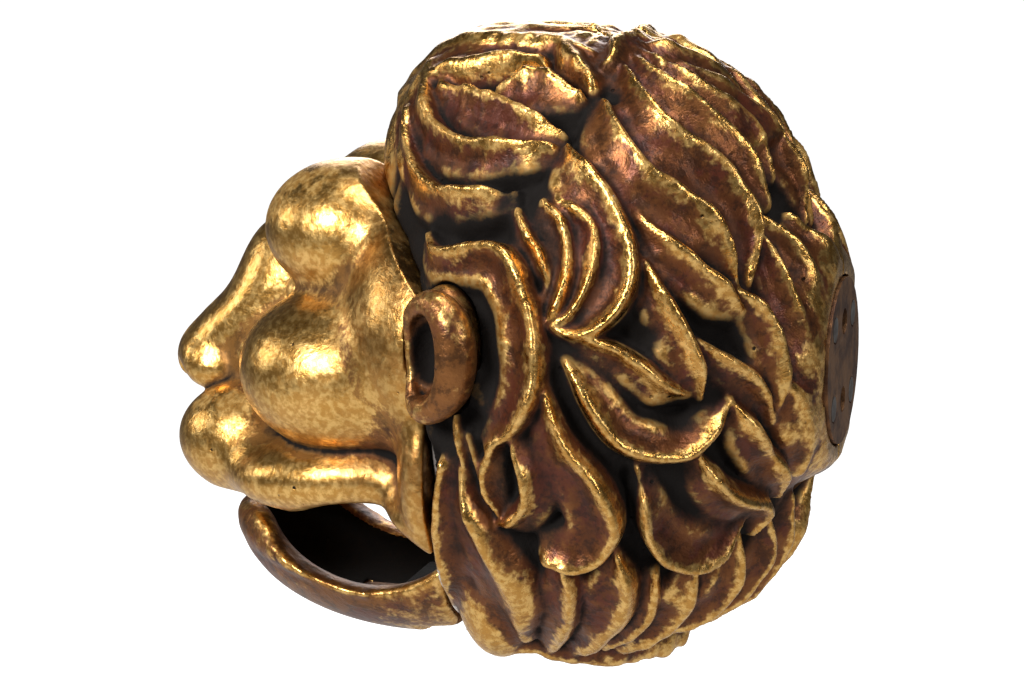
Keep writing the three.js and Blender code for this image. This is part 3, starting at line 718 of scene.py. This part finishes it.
def gilt(name, leaf_low, leaf_high, body, dark_low, dark_high, dulling, bumps, seam=False):
    """Worn gold leaf over red bole. Leaf is bright on the crests and brown on the flanks; the low parts are
    painted browner and the hollows black, partly as wax and partly as painted shade. leaf_low and leaf_high
    are the relief at which bright leaf starts and is whole, in millimetres; dark_low and dark_high are where
    the black wax and painted shade is whole and starts. body is the share of leaf left between the crests,
    dulling is added to the roughness, bumps is the depth of the surface grain in millimetres, and seam adds
    white chips along the joint with the face."""
    n = Nodes(name)
    fine = n.attribute("fine_relief")
    broad = n.attribute("broad_relief")
    relief = n.math("ADD", broad, n.math("MULTIPLY", fine, 2.0))
    patches = n.noise(95.0, 6.0, 0.68, 0.6)
    specks = n.noise(620.0, 3.0, 0.6)
    clouds = n.noise(38.0, 3.0, 0.5)
    wander = n.math("MULTIPLY", n.math("SUBTRACT", patches, 0.5), 3.2)
    grain = n.math("MULTIPLY", n.math("SUBTRACT", specks, 0.5), 1.6)
    level = n.math("ADD", n.math("ADD", relief, wander), grain)
    areas = n.math("MULTIPLY", n.math("SUBTRACT", n.noise(24.0, 2.0, 0.5), 0.5), 3.4)
    leaf = n.ramp(n.math("ADD", level, areas), leaf_low, leaf_high)
    # Black in the hollows: wax, and painted shade where the relief is low and deep in the carving (jaw,
    # ears, between locks).
    wax_and_shade_level = n.math("ADD", relief, n.math("MULTIPLY", grain, 0.6))
    wax_and_shade = n.math("SUBTRACT", 1.0, n.ramp(wax_and_shade_level, dark_low, dark_high))
    depth = n.math("ADD", n.attribute("depth"), grain)
    wax_and_shade = n.math("MAXIMUM", wax_and_shade, n.ramp(depth, 4.2, 6.6))
    # Browner in the low relief as painted shade, bronze on the high parts, with random clouds of wear.
    wear_and_shade_level = n.math("ADD", level, n.math("MULTIPLY", n.math("SUBTRACT", clouds, 0.5), 3.0))
    tone = n.mix(n.ramp(wear_and_shade_level, -1.2, 2.2), BROWN, BRONZE)
    tone = n.mix(body, tone, LEAF)
    red = n.math("MULTIPLY", n.ramp(n.noise(60.0, 5.0, 0.7), 0.50, 0.60), 0.65)
    tone = n.mix(red, tone, BOLE)
    handled = n.math("MULTIPLY", n.math("SUBTRACT", n.noise(55.0, 5.0, 0.7), 0.5), 0.08)
    toward_mane = n.ramp(n.math("ADD", n.coordinate(1), handled), -0.112, -0.078)
    tone = n.mix(n.math("MULTIPLY", n.math("MULTIPLY", toward_mane, body), 1.3), tone, BRONZE)
    grime = n.math("MULTIPLY", n.ramp(n.noise(260.0, 5.0, 0.75), 0.47, 0.60), 0.55)
    tone = n.mix(n.math("MULTIPLY", grime, n.blend(body, 1.0, 0.35)), tone, WAX_AND_SHADE)
    bright = n.mix(n.ramp(specks, 0.4, 0.65), LEAF, LEAF_PALE)
    whole = n.math("SUBTRACT", 0.9, n.math("MULTIPLY", n.math("MULTIPLY", toward_mane, body), 1.1))
    colour = n.mix(n.math("MULTIPLY", leaf, whole), tone, bright)
    # Paints the hollows black: wax and painted shade.
    colour = n.mix(wax_and_shade, colour, WAX_AND_SHADE)
    pits = n.math("SUBTRACT", 1.0, n.ramp(n.cells(210.0), 0.04, 0.12))
    pits = n.math("MULTIPLY", pits, n.ramp(n.noise(45.0), 0.55, 0.62))
    colour = n.mix(pits, colour, WAX_AND_SHADE)
    flaked = n.ramp(n.noise(70.0, 5.0, 0.75, 1.0), 0.735, 0.755)
    chips = n.math("MULTIPLY", flaked, n.ramp(relief, 0.0, 0.4))
    if seam:
        chips = n.math("MAXIMUM", chips, seam_chips(n))
    colour = n.mix(chips, colour, GESSO)
    dull = n.math("MAXIMUM", wax_and_shade, chips)
    n.put(n.blend(wax_and_shade, 0.3, 0.06), n.shader.inputs["Specular IOR Level"])
    metallic = n.blend(dull, n.blend(leaf, 0.72, 1.0), 0.0)
    metallic = n.math("MULTIPLY", metallic, n.blend(red, 1.0, 0.45))
    worn = n.blend(specks, 0.26 + dulling, 0.44 + dulling)
    burnished = n.blend(specks, 0.18 + dulling, 0.36 + dulling)
    rough = n.blend(leaf, worn, burnished)
    rough = n.blend(dull, rough, 0.8)
    height = n.math("ADD", n.math("MULTIPLY", specks, 0.35), n.math("MULTIPLY", patches, 1.4))
    height = n.math("SUBTRACT", height, n.math("MULTIPLY", pits, 1.6))
    height = n.math("SUBTRACT", height, n.math("MULTIPLY", chips, 0.8))
    dents = n.noise(160.0, 2.0, 0.5)
    height = n.math("ADD", height, n.math("MULTIPLY", dents, 0.8))
    return n.finish(colour, rough, metallic, n.bump(height, bumps * MM, 0.8))


def metal(name, light, dark, roughness, metallic=1.0):
    """Old metal with blotches and a fine grain."""
    n = Nodes(name)
    blotch = n.noise(120.0, 5.0, 0.65)
    grain = n.noise(900.0, 3.0, 0.6)
    colour = n.mix(n.ramp(blotch, 0.38, 0.62), dark, light)
    rough = n.blend(grain, roughness - 0.12, roughness + 0.15)
    height = n.math("ADD", blotch, n.math("MULTIPLY", grain, 0.3))
    return n.finish(colour, rough, metallic, n.bump(height, 0.0003, 0.6))


def bare_wood(name):
    n = Nodes(name)
    rings = n.noise(60.0, 4.0, 0.6, 0.4, stretch=(1.0, 12.0, 12.0))
    fibre = n.noise(500.0, 3.0, 0.6, 0.0, stretch=(0.2, 3.0, 3.0))
    colour = n.mix(n.ramp(rings, 0.35, 0.65), (0.20, 0.115, 0.055), (0.40, 0.26, 0.14))
    rough = n.blend(fibre, 0.55, 0.8)
    return n.finish(colour, rough, 0.0, n.bump(fibre, 0.0003, 0.5))


# ---- the stage ----

CAMERA_AT = (621.98, 111.86, 136.33)
CAMERA_TO = (6.07, -76.45, -0.57)
LENS = 100.0
FLOOR_Z = -0.30


def make_camera():
    data = bpy.data.cameras.new("camera")
    data.lens = LENS
    data.sensor_width = 36.0
    data.clip_start = 0.02
    camera = bpy.data.objects.new("camera", data)
    place = Vector(CAMERA_AT) * MM
    camera.location = place
    aim = Vector(CAMERA_TO) * MM - place
    camera.rotation_euler = aim.to_track_quat("-Z", "Y").to_euler()
    bpy.context.scene.collection.objects.link(camera)
    bpy.context.scene.camera = camera


def make_floor():
    mesh = bpy.data.meshes.new("floor")
    half = 6.0
    corners = [(-half, -half, 0), (half, -half, 0), (half, half, 0), (-half, half, 0)]
    mesh.from_pydata(corners, [], [(0, 1, 2, 3)])
    floor = bpy.data.objects.new("floor", mesh)
    floor.location.z = FLOOR_Z
    bpy.context.scene.collection.objects.link(floor)
    n = Nodes("floor_paint")
    colour = n.mix(n.noise(3.0), (0.60, 0.60, 0.60), (0.63, 0.63, 0.63))
    path = n.tree.nodes.new("ShaderNodeLightPath")
    n.put(n.blend(path.outputs["Is Camera Ray"], 0.04, 1.0), n.shader.inputs["Emission Strength"])
    n.put(n.mix(0.0, (1.0, 1.0, 1.0), (1.0, 1.0, 1.0)), n.shader.inputs["Emission Color"])
    mesh.materials.append(n.finish(colour, 0.9, 0.0))


def soft_light(name, place, size, power, aim=(0.0, -0.09, 0.0), colour=(1, 1, 1)):
    data = bpy.data.lights.new(name, "AREA")
    data.shape = "RECTANGLE"
    data.size, data.size_y = size
    data.energy = power
    data.color = colour
    light = bpy.data.objects.new(name, data)
    light.location = place
    toward = Vector(aim) - Vector(place)
    light.rotation_euler = toward.to_track_quat("-Z", "Y").to_euler()
    bpy.context.scene.collection.objects.link(light)


def make_world():
    """White to the eye, and dimmer as a light, so that the gilding keeps its contrast."""
    world = bpy.data.worlds.new("studio")
    world.use_nodes = True
    tree = world.node_tree
    tree.nodes.clear()
    out = tree.nodes.new("ShaderNodeOutputWorld")
    mix = tree.nodes.new("ShaderNodeMixShader")
    path = tree.nodes.new("ShaderNodeLightPath")
    lamp = tree.nodes.new("ShaderNodeBackground")
    seen = tree.nodes.new("ShaderNodeBackground")
    lamp.inputs["Color"].default_value = (0.95, 0.97, 1.0, 1)
    lamp.inputs["Strength"].default_value = 0.07
    seen.inputs["Strength"].default_value = 1.0
    seen.inputs["Color"].default_value = (1, 1, 1, 1)
    tree.links.new(path.outputs["Is Camera Ray"], mix.inputs[0])
    tree.links.new(lamp.outputs[0], mix.inputs[1])
    tree.links.new(seen.outputs[0], mix.inputs[2])
    tree.links.new(mix.outputs[0], out.inputs["Surface"])
    bpy.context.scene.world = world


def make_stage():
    make_camera()
    make_floor()
    make_world()
    soft_light("key", (0.80, -0.42, 0.42), (0.28, 0.28), 8.8)
    soft_light("second", (0.46, 0.80, 0.34), (0.16, 0.34), 2.6)
    soft_light("top", (0.20, 0.05, 0.95), (0.4, 0.5), 6.0)
    soft_light("front", (0.15, -0.95, 0.25), (0.2, 0.3), 1.2)
    soft_light("far_side", (-0.85, -0.3, 0.35), (0.5, 0.5), 3.5)
    bpy.context.scene.view_settings.view_transform = "Standard"


# ---- the knocker ----

CAD_LOOKS = {
    "iron": ("hammer_lever", "hammer_head", "hammer_rivet", "anvil_bar", "back_plate",
             "hinge_bracket_left", "hinge_bracket_right"),
    "steel": ("hinge_pin", "upper_captive_nut", "lower_captive_nut", "plate_screw_1", "plate_screw_2",
              "plate_screw_3", "plate_screw_4", "bracket_screw_1", "bracket_screw_2", "bracket_screw_3",
              "bracket_screw_4", "strap_screw_1", "strap_screw_2"),
    "brass": ("jaw_bush_left", "jaw_bush_right"),
    "bare_wood": ("stop_peg", "face_dowel_1", "face_dowel_2", "face_dowel_3", "face_dowel_4",
                  "mane_dowel_1", "mane_dowel_2", "mane_dowel_3"),
}


def dress_cad(frame):
    """Materials for the CAD nodes that stay in sight."""
    looks = {
        "iron": metal("iron_look", (0.25, 0.125, 0.055), (0.085, 0.038, 0.02), 0.5, 0.8),
        "steel": metal("steel_look", (0.30, 0.28, 0.26), (0.14, 0.115, 0.10), 0.42),
        "brass": metal("brass_look", (0.62, 0.42, 0.16), (0.33, 0.20, 0.07), 0.38),
        "bare_wood": bare_wood("bare_wood_look"),
    }
    for slot, names in CAD_LOOKS.items():
        for name in names:
            node = frame["nodes"][name]
            node.data.materials.clear()
            node.data.materials.append(looks[slot])


def make_mane(material):
    low, high = (-73.5, -119.0, -80.5), (73.5, 1.4, 80.5)
    p = grid(low, high, MANE_STEP)
    field = mane_field(p, relief_map())
    for word, side in (("left", 1), ("right", -1)):
        half = np.maximum(field, HALF_GAP - side * p[0])
        carved(f"carved_mane_{word}", half, low, MANE_STEP, "head", material,
               [f"mane_{word}"], mane_depth, 0.01)


def make_ears(material):
    low = (EAR_CENTRE[0] - 16.0, EAR_CENTRE[1] - 14.0, EAR_CENTRE[2] - 18.0)
    high = (EAR_CENTRE[0] + 16.0, EAR_CENTRE[1] + 14.0, EAR_CENTRE[2] + 18.0)
    field = ear_field(grid(low, high, EAR_STEP))
    carved("carved_ear_left", field, low, EAR_STEP, "head", material, ["ear_left"], ear_depth)
    turned = (-low[0] - EAR_STEP * (field.shape[0] - 1), low[1], low[2])
    carved("carved_ear_right", field[::-1], turned, EAR_STEP, "head", material,
           ["ear_right"], ear_depth)


def make_face(material):
    low, high = (-60.0, -166.0, -61.2), (60.0, -78.0, 52.0)
    field = face_field(grid(low, high, FACE_STEP))
    carved("carved_face", field, low, FACE_STEP, "head", material, ["face_block"],
           no_depth, 0.01)


def make_jaw(material):
    low, high = (-33.0, -149.0, -73.0), (33.0, -80.0, -38.0)
    field = jaw_field(grid(low, high, JAW_STEP))
    carved("carved_jaw", field, low, JAW_STEP, "jaw", material, ["lower_jaw"], jaw_depth)


def main():
    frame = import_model()
    dress_cad(frame)
    make_mane(gilt("gilt_mane_look", 0.15, 1.0, 0.04, -2.1, -0.4, 0.0, 0.5, seam=True))
    make_ears(gilt("gilt_ear_look", 0.6, 1.3, 0.1, -1.5, -0.3, 0.0, 0.5))
    make_face(gilt("gilt_face_look", -0.25, 0.45, 0.45, -1.6, -0.3, 0.04, 0.3))
    make_jaw(gilt("gilt_jaw_look", 0.4, 1.3, 0.14, -1.6, -0.5, 0.02, 0.4))
    make_stage()


main()
